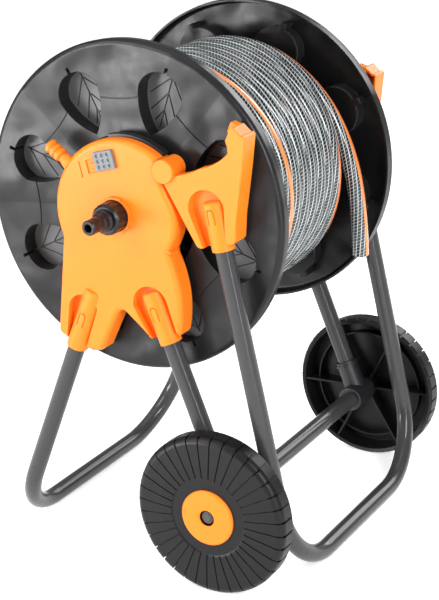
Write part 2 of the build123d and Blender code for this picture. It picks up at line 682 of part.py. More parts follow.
# ---------------------------------------------------------------- water inlet
with BuildPart() as inlet_connector:
    with BuildSketch(REEL_SECTION):
        with BuildLine():
            Polyline(
                (-149, 4.7), (-149, 9.5), (-153, 9.5), (-153, 8), (-156.4, 8), (-156.4, 9.5), (-173.2, 9.5),
                (-173.2, 13.9), (-174.2, 13.9), (-174.2, 15.8), (-178, 15.8), (-178, 12.4), (-199, 12.4),
                (-201, 10.2), (-207, 10.2), (-208.5, 8.5), (-216, 8.5), (-217, 7.4), (-219.4, 7.4),
                (-220.4, 8.5), (-226.5, 8.5), (-228, 7.4), (-228, 4.7), close=True,
            )
        make_face()
    revolve(axis=REEL_AXIS)
finish(inlet_connector, "inlet_connector")

with BuildPart() as inlet_nut:
    with BuildSketch(REEL_SECTION):
        with BuildLine():
            Polyline(
                (-BRACKET_FACE - 0.2, 15.85), (-BRACKET_FACE - 0.2, NUT_R), (-193.5, NUT_R), (-196.5, 14.8),
                (-196.5, 12.45), (-178, 12.45), (-178, 15.85), close=True,
            )
        make_face()
    revolve(axis=REEL_AXIS)
    with BuildSketch(centred_plane(0, -179, REEL_Z)):
        with PolarLocations(NUT_R + 1.2, 14):
            Circle(2.1)
    extrude(amount=20, mode=Mode.SUBTRACT)
finish(inlet_nut, "inlet_nut")

with BuildPart() as inlet_seal:
    with BuildSketch(REEL_SECTION):
        with Locations((-154.7, 8.75)):
            Circle(0.75)
    revolve(axis=REEL_AXIS)
finish(inlet_seal, "inlet_seal")

# ---------------------------------------------------------------- crank
KNOB = polar(0, REEL_Z, CRANK_REACH, CRANK_ANGLE)
KNOB_AXIS = Axis((REEL_X + KNOB[0], 0, KNOB[1]), (0, 1, 0))
KNOB_SECTION = Plane(origin=(REEL_X + KNOB[0], 0, KNOB[1]), x_dir=(0, 1, 0), z_dir=(1, 0, 0))
with BuildPart() as crank_arm:
    with BuildSketch(centred_plane(0, CRANK_IN, REEL_Z)) as arm_outline:
        Circle(19)
        with Locations(KNOB_PLACE := polar(0, 0, CRANK_REACH, CRANK_ANGLE)):
            Circle(12)
        make_hull()
    extrude(amount=-(CRANK_OUT - CRANK_IN))
    fillet(crank_arm.faces().sort_by(Axis.Y)[-1].edges(), radius=2.5)
    with BuildSketch(centred_plane(0, CRANK_IN + 3, REEL_Z)):
        with Locations(Rotation(0, 0, CRANK_ANGLE)):
            with Locations((56, 0)):
                Trapezoid(20, 48, 92, rotation=-90)
    extrude(amount=3.2, mode=Mode.SUBTRACT)
    with BuildSketch(centred_plane(0, CRANK_IN - 1, REEL_Z)):
        Rectangle(16.06, 16.06, rotation=CRANK_ANGLE)
    extrude(amount=-9.5, mode=Mode.SUBTRACT)
    with BuildSketch(centred_plane(0, CRANK_IN, REEL_Z)):
        Circle(2.6)
        with Locations(KNOB_PLACE):
            Circle(3.5)
    extrude(amount=-20, mode=Mode.SUBTRACT)
finish(crank_arm, "crank_arm")

with BuildPart() as crank_screw:
    with BuildSketch(REEL_SECTION):
        with BuildLine():
            Polyline(
                (176, 0), (176, 2.45), (CRANK_OUT, 2.45), (CRANK_OUT, 8), (CRANK_OUT + 1.5, 8),
                (CRANK_OUT + 3.5, 5), (CRANK_OUT + 3.5, 0), close=True,
            )
        make_face()
    revolve(axis=REEL_AXIS)
finish(crank_screw, "crank_screw")

KNOB_IN, KNOB_OUT = 192.5, 226.0
with BuildPart() as knob_pin:
    with BuildSketch(KNOB_SECTION):
        with BuildLine():
            Polyline(
                (CRANK_IN + 0.5, 0), (CRANK_IN + 0.5, 3.47), (CRANK_OUT, 3.47), (KNOB_OUT + 0.5, 3.47),
                (KNOB_OUT + 0.5, 6.5), (228, 5.5), (228, 0), close=True,
            )
        make_face()
    revolve(axis=KNOB_AXIS)
finish(knob_pin, "knob_pin")

with BuildPart() as crank_knob:
    with BuildSketch(KNOB_SECTION):
        with BuildLine():
            Polyline((KNOB_IN, 3.47 + RUNNING), (KNOB_IN, 10), (195, 11.5), (199, 11.5))
            ThreePointArc((199, 11.5), (212, 12.2), (222, 14.5))
            ThreePointArc((222, 14.5), (225, 13.2), (KNOB_OUT, 10.5))
            Polyline((KNOB_OUT, 10.5), (KNOB_OUT, 3.47 + RUNNING), (KNOB_IN, 3.47 + RUNNING))
        make_face()
    revolve(axis=KNOB_AXIS)
finish(crank_knob, "crank_knob")

# ---------------------------------------------------------------- handle
# Wings that pivot on the bracket's lugs and sleeve the ends of the handle tube. The top
# edge is hollowed to nest on the round head when the handle is up, behind a hook.
DOME_SEEN = turned((DOME_X, REEL_Z), -HANDLE_UP)
HANDLE_SLEEVE_END = along(HANDLE_TOP, HANDLE_FOOT, 51.0)
HANDLE_SLEEVE_TOP = along(HANDLE_TOP, HANDLE_FOOT, -3.0)
with BuildSketch() as wing_outline:
    with BuildLine():
        Polyline((101, 380), (64.3, 448), (60, 462), (66, 475), (80, 467), (98, 467.5))
        ThreePointArc((98, 467.5), (123.5, 473), (144.5, 487.6))
        Polyline(
            (144.5, 487.6), (143.8, 495.6), (140.5, 504), (151, 516), (161, 506.5), (163.5, 507.2),
            (165.8, 504.5), (160.8, 474), (155.5, 446), (150, 418), (146.8, 389.5), (101, 380),
        )
    make_face()
    for corner, radius in (
        ((151, 516), 2.5),
        ((165.8, 504.5), 1.2),
        ((160.8, 474), 60),
        ((155.5, 446), 60),
        ((146.8, 389.5), 7),
        ((101, 380), 7),
        ((140.5, 504), 1.5),
    ):
        fillet(wing_outline.vertices().sort_by_distance(corner)[0], radius=radius)
    with Locations(DOME_SEEN):
        Circle(DOME_R + 0.7, mode=Mode.SUBTRACT)
    with Locations((PIVOT_X, PIVOT_Z)):
        Circle(PIVOT_DISC_R)

with BuildSketch() as wing_deep_outline:
    add(wing_outline.sketch)
    with Locations(DOME_SEEN):
        Circle(BAR_R + 0.7, mode=Mode.SUBTRACT)
    with Locations((PIVOT_X, PIVOT_Z)):
        Circle(PIVOT_DISC_R + 1.5, mode=Mode.SUBTRACT)

with BuildSketch() as wing_hollow:
    add(wing_deep_outline.sketch)
    offset(amount=-2.5)

# Tooth of the hook, drawn where it stands when the handle is up.
with BuildSketch() as wing_tooth:
    with BuildLine():
        tooth = (
            (78.5, HOOK_START), (83.3, HOOK_START), (83.3, 110.6), (89.5, 110.6), (89.5, HOOK_END), (78.5, HOOK_END),
        )
        tooth = [turned(polar(DOME_X, REEL_Z, radius, angle), -HANDLE_UP) for radius, angle in tooth]
        Polyline(*tooth, close=True)
    make_face()

with BuildSketch() as wing_arch:
    with BuildLine():
        Polyline((110, 376), (93.2, 419))
        ThreePointArc((93.2, 419), (114, 446), (135.8, 427))
        Polyline((135.8, 427), (135, 380), (110, 376))
    make_face()
with BuildSketch() as wing_pan:
    add(offset(wing_arch.sketch, amount=2.5))
    add(wing_deep_outline.sketch, mode=Mode.INTERSECT)

with BuildPart() as wing_near:
    with BuildSketch(side_plane(-LAP_Y - 0.3)):
        add(wing_outline.sketch)
    extrude(amount=BRACKET_FACE - LAP_Y - 0.3)
    fillet(wing_near.faces().sort_by(Axis.Y)[0].edges(), radius=1.2)
    with BuildSketch(side_plane(-BRACKET_BACK)):
        add(wing_deep_outline.sketch)
    extrude(amount=LAP_Y + 0.4 - BRACKET_BACK)
    with BuildSketch(side_plane(-BRACKET_BACK)):
        add(wing_hollow.sketch)
    extrude(amount=BRACKET_FACE - BRACKET_BACK - 2.5, mode=Mode.SUBTRACT)
    with BuildSketch(side_plane(-BRACKET_BACK)):
        add(wing_tooth.sketch)
    extrude(amount=LAP_Y - 0.3 - BRACKET_BACK)
    with BuildSketch(side_plane(-161)):
        add(wing_pan.sketch)
    extrude(amount=11)
    with BuildSketch(side_plane(-164)):
        add(wing_arch.sketch)
    extrude(amount=15, mode=Mode.SUBTRACT)
    with BuildSketch(leg_plane(HANDLE_SLEEVE_END, HANDLE_SLEEVE_TOP, -SIDE_Y)):
        Circle(SLEEVE_R)
    extrude(amount=distance(HANDLE_SLEEVE_END, HANDLE_SLEEVE_TOP))
    fillet(wing_near.edges().filter_by(GeomType.CIRCLE).sort_by_distance(
        (REEL_X + HANDLE_SLEEVE_TOP[0], -SIDE_Y - SLEEVE_R, HANDLE_SLEEVE_TOP[1]))[0], radius=3)
    with BuildSketch(side_plane(-LATCH_FLOOR)):
        add(latch_slit(HANDLE_TOP, HANDLE_FOOT, 4))
    extrude(amount=5, mode=Mode.SUBTRACT)
    with BuildSketch(centred_plane(PIVOT_X, -BRACKET_FACE + 0.5, PIVOT_Z)):
        Circle(PIVOT_DISC_R)
    extrude(amount=4.5)
    fillet(wing_near.faces().filter_by(Axis.Y).sort_by(Axis.Y)[0].edges(), radius=1.5)
    with BuildSketch(leg_plane(HANDLE_SLEEVE_END, HANDLE_TOP, -SIDE_Y)):
        Circle(SLEEVE_BORE_R)
    extrude(amount=distance(HANDLE_SLEEVE_END, HANDLE_TOP), mode=Mode.SUBTRACT)
    with BuildSketch(centred_plane(PIVOT_X, -BRACKET_BACK, PIVOT_Z)):
        Circle(4.02)
    extrude(amount=25, mode=Mode.SUBTRACT)
finish(wing_near, "wing_near")

with BuildPart() as wing_far:
    add(mirror(wing_near.part, about=Plane.XZ))
finish(wing_far, "wing_far")

with BuildPart() as handle_tube:
    with BuildLine() as handle_path:
        corners = []
        for side in (-1, 1):
            run = [(REEL_X + x, side * SIDE_Y, z) for x, z in (HANDLE_TOP, HANDLE_FOOT)]
            corners += run if side < 0 else reversed(run)
        FilletPolyline(*corners, radius=HANDLE_BEND_R)
    with BuildSketch(Plane(origin=handle_path.line @ 0, z_dir=handle_path.line % 0)):
        Circle(TUBE_R)
    sweep(path=handle_path.line)
finish(handle_tube, "handle_tube")

# Pivot pins: fast in the wings, turning in the lugs, headed on the inner side.
PIVOT_SECTION = Plane(origin=(REEL_X + PIVOT_X, 0, PIVOT_Z), x_dir=(0, 1, 0), z_dir=(1, 0, 0))
PIVOT_AXIS = Axis((REEL_X + PIVOT_X, 0, PIVOT_Z), (0, 1, 0))
with BuildPart() as handle_pins:
    with BuildSketch(PIVOT_SECTION):
        for side in (-1, 1):
            with BuildLine():
                Polyline(
                    (side * 175, 0), (side * 175, 4), (side * 149.6, 4), (side * 149.6, 8),
                    (side * 147.5, 6.5), (side * 147.5, 0), close=True,
                )
            make_face()
    revolve(axis=PIVOT_AXIS)
finish(handle_pins, "handle_pins")

# ---------------------------------------------------------------- handle lock
# A curved bar slides round the dome behind its rim; the grey button on the face moves it.
# Its nose slips into the hook of the raised wing.
for side, name in ((-1, "near"), (1, "far")):
    with BuildPart() as lock_bar:
        with BuildSketch(centred_plane(DOME_X, -BRACKET_BACK - 0.4, REEL_Z)):
            for inner, outer, start, end in (
                (72, BAR_R, BAR_START, BAR_END),
                (84, BAR_R, BAR_END, NOSE_END),
                (56, 72.5, 94, 110),
            ):
                with BuildLine():
                    CenterArc((0, 0), outer, start, end - start)
                    CenterArc((0, 0), inner, start, end - start)
                    Line(polar(0, 0, inner, start), polar(0, 0, outer, start))
                    Line(polar(0, 0, inner, end), polar(0, 0, outer, end))
                make_face()
        extrude(amount=LAP_Y - BRACKET_BACK - 0.8)
        with BuildSketch(centred_plane(DOME_X, -LAP_Y + 1, REEL_Z)):
            with Locations(Rotation(0, 0, BUTTON_ANGLE)):
                with Locations((BUTTON_R, 0)):
                    Rectangle(10, 8)
        extrude(amount=BRACKET_FACE - LAP_Y)
        if side > 0:
            mirror(about=Plane.XZ, mode=Mode.REPLACE)
    finish(lock_bar, f"lock_bar_{name}")
    with BuildPart() as lock_slider:
        with BuildSketch(centred_plane(DOME_X, -BRACKET_FACE - 0.3, REEL_Z)):
            with Locations(Rotation(0, 0, BUTTON_ANGLE)):
                with Locations((BUTTON_R, 0)):
                    RectangleRounded(21.5, 25.5, 2)
        extrude(amount=3.7)
        fillet(lock_slider.faces().sort_by(Axis.Y)[0].edges(), radius=1)
        with BuildSketch(centred_plane(DOME_X, -178, REEL_Z)):
            with Locations(Rotation(0, 0, BUTTON_ANGLE)):
                with Locations((BUTTON_R, 0)):
                    with GridLocations(6.2, 7, 3, 3):
                        Circle(2)
        extrude(amount=-1.3, mode=Mode.SUBTRACT)
        if side > 0:
            mirror(about=Plane.XZ, mode=Mode.REPLACE)
    finish(lock_slider, f"lock_slider_{name}")
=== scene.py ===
import json
import logging
import math
from dataclasses import dataclass, replace
from enum import Enum

import bpy
from mathutils import Matrix, Vector


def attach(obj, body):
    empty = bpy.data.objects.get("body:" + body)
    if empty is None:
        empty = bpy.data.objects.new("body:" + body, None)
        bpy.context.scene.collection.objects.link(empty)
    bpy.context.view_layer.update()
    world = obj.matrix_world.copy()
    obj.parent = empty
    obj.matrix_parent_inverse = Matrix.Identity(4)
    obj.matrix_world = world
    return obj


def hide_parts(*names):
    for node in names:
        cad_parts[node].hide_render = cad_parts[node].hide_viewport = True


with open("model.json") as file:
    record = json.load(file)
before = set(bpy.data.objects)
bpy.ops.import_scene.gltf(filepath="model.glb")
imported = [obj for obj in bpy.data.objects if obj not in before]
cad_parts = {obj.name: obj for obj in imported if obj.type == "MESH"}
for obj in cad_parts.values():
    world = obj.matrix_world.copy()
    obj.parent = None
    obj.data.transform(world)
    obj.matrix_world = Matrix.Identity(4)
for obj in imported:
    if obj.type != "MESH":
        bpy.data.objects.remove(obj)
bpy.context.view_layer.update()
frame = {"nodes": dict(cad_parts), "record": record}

# Visual model of a garden hose reel cart. Everything is in metres in the CAD frame:
# +X towards the wheels and handle, -Y towards the water inlet, Z = 0 on the ground.

log = logging.getLogger("hose_reel_cart")

MM = 0.001
REEL_X = -7.5 * MM
REEL_Z = 409.0 * MM

Pair = tuple[float, float]
Triple = tuple[float, float, float]
Colour = Place = Triple


class Slot(Enum):
    """Material slots that the cart's pieces have in the record."""

    AXLE = "axle_dark"
    BRACKET = "bracket_orange"
    CRANK = "crank_black"
    DRUM = "drum_black"
    FLANGE = "flange_grey"
    HOSE = "hose_pvc"
    HUB_CAP = "hub_cap_orange"
    INLET = "inlet_black"
    KNOB = "knob_orange"
    LOCK_BAR = "lock_black"
    LOCK_SLIDER = "slider_grey"
    SEAL = "seal_rubber"
    STEEL = "zinc_steel"
    TEE = "tee_black"
    TUBE = "tube_grey"
    WHEEL = "wheel_black"


def deselect() -> None:
    """Leave edit mode and select nothing."""
    if bpy.context.object and bpy.context.object.mode != "OBJECT":
        bpy.ops.object.mode_set(mode="OBJECT")
    bpy.ops.object.select_all(action="DESELECT")


# ---------------------------------------------------------------- shader building
def shade(colour: Colour) -> tuple[float, float, float, float]:
    """Colour with full opacity."""
    return (*colour, 1.0)


class Sheet:
    """Node tree under construction, with short calls to add and link nodes."""

    def __init__(self, tree: bpy.types.NodeTree) -> None:
        """Take over a tree."""
        self.tree = tree

    def add(self, kind: str, **inputs: object) -> bpy.types.Node:
        """Add a node.

        Args:
            kind: Node type without its ShaderNode prefix, or the full type for a group's own nodes.
            inputs: Values or output sockets for its inputs, named with underscores for spaces.

        Returns:
            The new node.
        """
        node = self.tree.nodes.new(kind if kind.startswith("Node") else "ShaderNode" + kind)
        for name, value in inputs.items():
            self.feed(node, name.replace("_", " "), value)
        return node

    def feed(self, node: bpy.types.Node, name: str | int, value: object) -> None:
        """Set a node's input to a value, or link it to another node's output."""
        if isinstance(value, bpy.types.NodeSocket):
            self.tree.links.new(value, node.inputs[name])
        else:
            node.inputs[name].default_value = value

    def math(self, operation: str, *values: object) -> bpy.types.NodeSocket:
        """Add a Math node and return its output."""
        node = self.add("Math")
        node.operation = operation
        for index, value in enumerate(values):
            self.feed(node, index, value)
        return node.outputs[0]

    def mix(self, factor: object, first: object, second: object) -> bpy.types.NodeSocket:
        """Mix two colours.

        Args:
            factor: Share of the second colour.
            first: First colour or socket.
            second: Second colour or socket.

        Returns:
            The mixed colour's socket.
        """
        node = self.add("Mix")
        node.data_type = "RGBA"
        for index, value in ((0, factor), (6, first), (7, second)):
            self.feed(node, index, value)
        return node.outputs[2]

    def spread(self, value: object, span: Pair, onto: Pair = (0.0, 1.0)) -> bpy.types.NodeSocket:
        """Map one range of values smoothly onto another.

        Args:
            value: Value to map.
            span: Lowest and highest value of the range.
            onto: What they become.

        Returns:
            The mapped value's socket.
        """
        node = self.add("MapRange")
        node.interpolation_type = "SMOOTHSTEP"
        for index, item in enumerate((value, *span, *onto)):
            self.feed(node, index, item)
        return node.outputs[0]

    def noise(self, scale: object, detail: float, **inputs: object) -> bpy.types.NodeSocket:
        """Add a noise on the piece's own coordinates and return its value."""
        inputs.setdefault("Vector", self.add("TexCoord").outputs["Object"])
        return self.add("TexNoise", Scale=scale, Detail=detail, **inputs).outputs[0]


class GroupSheet(Sheet):
    """Node group under construction, with its inputs in `into` and its end node in `out`."""

    def __init__(self, name: str, inputs: dict[str, tuple[str, object]], outputs: dict[str, str]) -> None:
        """Make the group's sockets and end nodes.

        Args:
            name: Group's name.
            inputs: Each input's name, with its socket type and default.
            outputs: Each output's name, with its socket type.
        """
        super().__init__(bpy.data.node_groups.new(name, "ShaderNodeTree"))
        sockets = self.tree.interface
        for label, (kind, default) in inputs.items():
            socket = sockets.new_socket(name=label, in_out="INPUT", socket_type="NodeSocket" + kind)
            socket.default_value = default
        for label, kind in outputs.items():
            sockets.new_socket(name=label, in_out="OUTPUT", socket_type="NodeSocket" + kind)
        self.into = self.add("NodeGroupInput").outputs
        self.out = self.add("NodeGroupOutput")


class MaterialSheet(Sheet):
    """New material under construction, round its own Principled BSDF."""

    def __init__(self, name: str) -> None:
        """Make the material."""
        self.material = bpy.data.materials.new(name)
        self.material.use_nodes = True
        super().__init__(self.material.node_tree)
        self.shader = self.tree.nodes["Principled BSDF"]

    def surface(self, **inputs: object) -> None:
        """Set or link the shader's inputs, named with underscores for spaces."""
        for name, value in inputs.items():
            self.feed(self.shader, name.replace("_", " "), value)


# ---------------------------------------------------------------- finishes
@dataclass(frozen=True)
class MouldedSkin:
    """Effect that all mouldings share: grain, cloudy tone, scuffs and softened edges."""

    cloud_scale: float = 16.0
    streak_scale: Triple = (35.0, 35.0, 260.0)
    scuffed: Pair = (0.62, 0.78)
    scuff_tone: Colour = (0.5, 0.5, 0.5)
    scuff_dulling: float = 0.4
    gloss_scale: float = 140.0
    gloss_spread: float = 0.16
    edge_radius: float = 0.9 * MM
    grain_height: float = 0.25 * MM

    def build(self) -> bpy.types.NodeTree:
        """Make the group.

        Returns:
            The finished node group.
        """
        sheet = GroupSheet(
            "moulded_skin",
            {
                "Tone": ("Color", (0.5, 0.5, 0.5, 1.0)), "Gloss": ("Float", 0.4),
                "Grain Scale": ("Float", 900.0), "Grain Depth": ("Float", 0.1),
                "Cloud": ("Float", 0.1), "Scuffs": ("Float", 0.2),
            },
            {"Color": "Color", "Roughness": "Float", "Normal": "Vector"},
        )
        place = sheet.add("TexCoord").outputs["Object"]
        cloud = sheet.math("SUBTRACT", sheet.noise(self.cloud_scale, 5.0, Vector=place), 0.5)
        tone = sheet.math("MULTIPLY_ADD", cloud, sheet.into["Cloud"], 1.0)
        drawn = sheet.add("Mapping", Vector=place, Scale=self.streak_scale).outputs[0]
        streaks = sheet.noise(1.0, 6.0, Vector=drawn, Roughness=0.7)
        scuff = sheet.math("MULTIPLY", sheet.spread(streaks, self.scuffed), sheet.into["Scuffs"])
        clouded = sheet.add("HueSaturation", Value=tone, Color=sheet.into["Tone"]).outputs[0]
        sheet.feed(sheet.out, "Color", sheet.mix(scuff, clouded, shade(self.scuff_tone)))
        fine = sheet.math("SUBTRACT", sheet.noise(self.gloss_scale, 3.0, Vector=place), 0.5)
        gloss = sheet.math("MULTIPLY_ADD", fine, self.gloss_spread, sheet.into["Gloss"])
        dulled = sheet.math("MULTIPLY", scuff, self.scuff_dulling)
        sheet.feed(sheet.out, "Roughness", sheet.math("ADD", gloss, dulled))
        soft = sheet.add("Bevel", Radius=self.edge_radius)
        soft.samples = 4
        grain = sheet.noise(sheet.into["Grain Scale"], 2.0, Vector=place)
        bump = sheet.add("Bump", Strength=sheet.into["Grain Depth"], Distance=self.grain_height,
                         Height=grain, Normal=soft.outputs[0])
        sheet.feed(sheet.out, "Normal", bump.outputs[0])
        return sheet.tree


@dataclass(frozen=True)
class Moulding:
    """Plastic, paint, plating or rubber of one colour."""

    name: str
    tone: Colour
    gloss: float
    grain_scale: float = 900.0
    grain_depth: float = 0.12
    cloud: float = 0.12
    scuffs: float = 0.08
    coat: float = 0.0
    metal: float = 0.0
    glow: float = 0.0
    glow_reach: Triple = (1.0, 0.4, 0.12)
    glow_depth: float = 3 * MM
    specular: float = 0.5
    coat_rough: float = 0.25

    def last_colour(self, sheet: Sheet, colour: bpy.types.NodeSocket) -> bpy.types.NodeSocket:
        """Colour as the shader gets it, which a finish with more detail changes."""
        return colour

    def last_normal(self, sheet: Sheet, normal: bpy.types.NodeSocket) -> bpy.types.NodeSocket:
        """Normal as the shader gets it, which a finish with more detail changes."""
        return normal

    def build(self, skin: bpy.types.NodeTree) -> bpy.types.Material:
        """Make the material.

        Args:
            skin: The shared moulded-skin group.

        Returns:
            The finished material.
        """
        sheet = MaterialSheet(self.name)
        group = sheet.add("Group")
        group.node_tree = skin
        for label, value in (
            ("Tone", shade(self.tone)), ("Gloss", self.gloss), ("Grain Scale", self.grain_scale),
            ("Grain Depth", self.grain_depth), ("Cloud", self.cloud), ("Scuffs", self.scuffs),
        ):
            sheet.feed(group, label, value)
        sheet.surface(
            Base_Color=self.last_colour(sheet, group.outputs["Color"]),
            Roughness=group.outputs["Roughness"],
            Normal=self.last_normal(sheet, group.outputs["Normal"]),
            Specular_IOR_Level=self.specular, Coat_Weight=self.coat, Coat_Roughness=self.coat_rough,
            Metallic=self.metal,
        )
        if self.glow:
            sheet.surface(Subsurface_Weight=self.glow, Subsurface_Radius=self.glow_reach,
                          Subsurface_Scale=self.glow_depth)
        return sheet.material


@dataclass(frozen=True)
class DiscMoulding(Moulding):
    """Skin of the reel's thin discs: flat sectors, shallow sink marks, painted light on the leaf floors,
    painted shade on the inward faces.
    """

    sectors: int = 8
    sector_start: float = 2.2
    sector_height: float = 3 * MM
    sector_strength: float = 0.8
    sink: float = 15 * MM
    sink_scale: float = 9.0
    leaf_floor: float = 123 * MM
    leaf_edge: Pair = (0.3 * MM, 0.6 * MM)
    # painted light: the leaf floors get a paler tone for the light they catch
    leaf_painted_light: Colour = (0.095, 0.095, 0.097)
    # painted shade: faces turned towards the reel's middle, which the hose and the other disc shadow, get
    # a darker tone
    painted_shade_span: Pair = (-110 * MM, -80 * MM)
    painted_shade_tone: Colour = (0.004, 0.004, 0.0045)

    def last_colour(self, sheet: Sheet, colour: bpy.types.NodeSocket) -> bpy.types.NodeSocket:
        """Paint light on the floors of the leaf pockets as a paler tone, and paint shade on the disc's
        inward faces as a darker one.

        Args:
            sheet: The material's sheet.
            colour: Colour of the skin.

        Returns:
            The colour with painted light on the leaf floors and painted shade on the inward faces.
        """
        coords = sheet.add("TexCoord").outputs
        depth = sheet.add("SeparateXYZ", Vector=coords["Object"]).outputs[1]
        facing = sheet.add("SeparateXYZ", Vector=coords["Normal"]).outputs[1]
        # painted shade: faces turned towards the reel's middle fade to the dark tone
        painted_shade_mask = sheet.spread(sheet.math("MULTIPLY", depth, facing), self.painted_shade_span, (1.0, 0.0))
        # painted light: faces at the leaf floors' depth get the paler tone
        off = sheet.math("SUBTRACT", sheet.math("ABSOLUTE", depth), self.leaf_floor)
        leaf = sheet.spread(sheet.math("ABSOLUTE", off), self.leaf_edge, (1.0, 0.0))
        return sheet.mix(painted_shade_mask, sheet.mix(leaf, colour, shade(self.leaf_painted_light)), shade(self.painted_shade_tone))

    def last_normal(self, sheet: Sheet, normal: bpy.types.NodeSocket) -> bpy.types.NodeSocket:
        """Tilt the face slightly from sector to sector, and wave it as cooling plastic does.

        Args:
            sheet: The material's sheet.
            normal: Normal of the skin.

        Returns:
            The tilted normal.
        """
        place = sheet.add("TexCoord").outputs["Object"]
        centred = sheet.add("Mapping", Vector=place, Location=(-REEL_X, 0, -REEL_Z)).outputs[0]
        across, _, up = sheet.add("SeparateXYZ", Vector=centred).outputs
        turn = sheet.math("ARCTAN2", up, across)
        start = -self.sector_start * self.sectors / 360
        share = sheet.math("MULTIPLY_ADD", turn, self.sectors / math.tau, start)
        ridge = sheet.math("PINGPONG", share, 0.5)
        faceted = sheet.add("Bump", Strength=self.sector_strength, Distance=self.sector_height,
                            Height=ridge, Normal=normal).outputs[0]
        wave = sheet.noise(self.sink_scale, 2.0, Vector=place)
        return sheet.add("Bump", Strength=1.0, Distance=self.sink, Height=wave, Normal=faceted).outputs[0]


@dataclass(frozen=True)
class BraidedHose:
    """Clear-coated hose wall over a woven braid with one coloured stripe.

    The hose's UV map runs once round it in U and in metres along it in V.
    """

    name: str = "braided_hose"
    strands: float = 13.0
    twist: float = 1.6
    slant: float = 6.0
    pitch: float = 3.9 * MM
    warp_edge: Pair = (0.07, 0.11)
    weft_edge: Pair = (0.07, 0.12)
    braid_height: float = 0.3 * MM
    stripe_width: float = 0.17
    stripe_edge: float = 0.01
    stripe_holes: float = 0.15
    white: Colour = (0.6, 0.64, 0.65)
    grey: Colour = (0.24, 0.28, 0.28)
    teal: Colour = (0.11, 0.19, 0.22)
    blush: Colour = (0.5, 0.36, 0.33)
    black: Colour = (0.003, 0.004, 0.005)
    orange: Colour = (0.9, 0.26, 0.07)
    clouded: Pair = (0.3, 0.7)

    def build(self) -> bpy.types.Material:
        """Make the material.

        Returns:
            The finished material.
        """
        sheet = MaterialSheet(self.name)
        coords = sheet.add("TexCoord").outputs
        around, along, _ = sheet.add("SeparateXYZ", Vector=coords["UV"]).outputs
        cloud = sheet.noise(30.0, 3.0, Vector=coords["Object"])
        blush = sheet.noise(70.0, 2.0, Vector=coords["Object"])
        over, under = self.threads(sheet, around, along)
        gap = sheet.math("MULTIPLY", over, under)
        thread = sheet.mix(over, shade(self.white), shade(self.grey))
        thread = sheet.mix(sheet.spread(cloud, self.clouded, (0.0, 0.35)), thread, shade(self.teal))
        thread = sheet.mix(sheet.spread(blush, (0.5, 0.7), (0.0, 0.4)), thread, shade(self.blush))
        braid = sheet.mix(gap, thread, shade(self.black))
        side = sheet.math("ABSOLUTE", sheet.math("SUBTRACT", around, 0.5))
        edge = (self.stripe_width / 2 - self.stripe_edge, self.stripe_width / 2 + self.stripe_edge)
        stripe = sheet.spread(side, edge, (1.0, 0.0))
        shown = sheet.math("MULTIPLY", gap, self.stripe_holes)
        striped = sheet.mix(shown, shade(self.orange), shade(self.black))
        bump = sheet.add("Bump", Strength=0.25, Distance=self.braid_height,
                         Height=sheet.math("SUBTRACT", 1.0, gap))
        sheet.surface(
            Base_Color=sheet.mix(stripe, braid, striped),
            Roughness=sheet.spread(cloud, self.clouded, (0.2, 0.3)),
            Normal=bump.outputs[0],
            Specular_IOR_Level=0.25, Coat_Weight=0.9, Coat_Roughness=0.14,
        )
        return sheet.material

    def threads(
        self, sheet: Sheet, around: bpy.types.NodeSocket, along: bpy.types.NodeSocket
    ) -> tuple[bpy.types.NodeSocket, bpy.types.NodeSocket]:
        """Mask the threads that run along the hose and those that run round it.

        Args:
            sheet: The material's sheet.
            around: Share of a turn round the hose.
            along: Metres along the hose.

        Returns:
            The two masks, each 0 on a thread and 1 between threads.
        """
        turned = sheet.math("MULTIPLY_ADD", along, self.twist, around)
        warp = sheet.math("MULTIPLY", turned, self.strands)
        weft = sheet.math("MULTIPLY_ADD", around, self.slant, sheet.math("DIVIDE", along, self.pitch))
        over = sheet.spread(sheet.math("PINGPONG", warp, 0.5), self.warp_edge)
        under = sheet.spread(sheet.math("PINGPONG", weft, 0.5), self.weft_edge)
        return over, under


ORANGE_MOULDING = Moulding(
    "orange_moulding", (0.88, 0.2, 0.012), 0.38, 1100.0, 0.06, 0.06, 0.03,
    coat=0.05, glow=0.12, specular=0.2)
FINISHES = {
    Slot.BRACKET: ORANGE_MOULDING,
    Slot.HUB_CAP: ORANGE_MOULDING,
    Slot.KNOB: ORANGE_MOULDING,
    Slot.TUBE: Moulding(
        "grey_tube_paint", (0.04, 0.04, 0.042), 0.3, 700.0, 0.03, 0.05, 0.0,
        coat=0.4, specular=0.12, coat_rough=0.06),
    Slot.TEE: Moulding("black_tee", (0.012, 0.012, 0.014), 0.42, 1000.0, 0.2),
    Slot.WHEEL: Moulding(
        "black_wheel", (0.006, 0.006, 0.007), 0.4, 800.0, 0.2, 0.3, 0.03, specular=0.22),
    Slot.FLANGE: DiscMoulding(
        "grey_flange", (0.012, 0.012, 0.013), 0.31, 800.0, 0.12, 0.9, 0.1, specular=0.22),
    Slot.DRUM: Moulding("black_drum", (0.014, 0.014, 0.016), 0.42),
    Slot.INLET: Moulding(
        "black_inlet", (0.007, 0.007, 0.009), 0.34, 900.0, 0.08, coat=0.15, specular=0.25),
    Slot.CRANK: Moulding("black_crank", (0.014, 0.014, 0.016), 0.36),
    Slot.LOCK_SLIDER: Moulding("grey_slider", (0.13, 0.14, 0.15), 0.45, 900.0, 0.2),
    Slot.LOCK_BAR: Moulding("black_lock", (0.012, 0.012, 0.014), 0.4),
    Slot.STEEL: Moulding("zinc_plate", (0.55, 0.56, 0.58), 0.3, 400.0, 0.08, 0.15, 0.1, metal=1.0),
    Slot.AXLE: Moulding("black_oxide_steel", (0.07, 0.07, 0.072), 0.4, 400.0, 0.08, 0.15, 0.1, metal=0.6),
    Slot.SEAL: Moulding("seal_rubber", (0.012, 0.012, 0.012), 0.6),
}


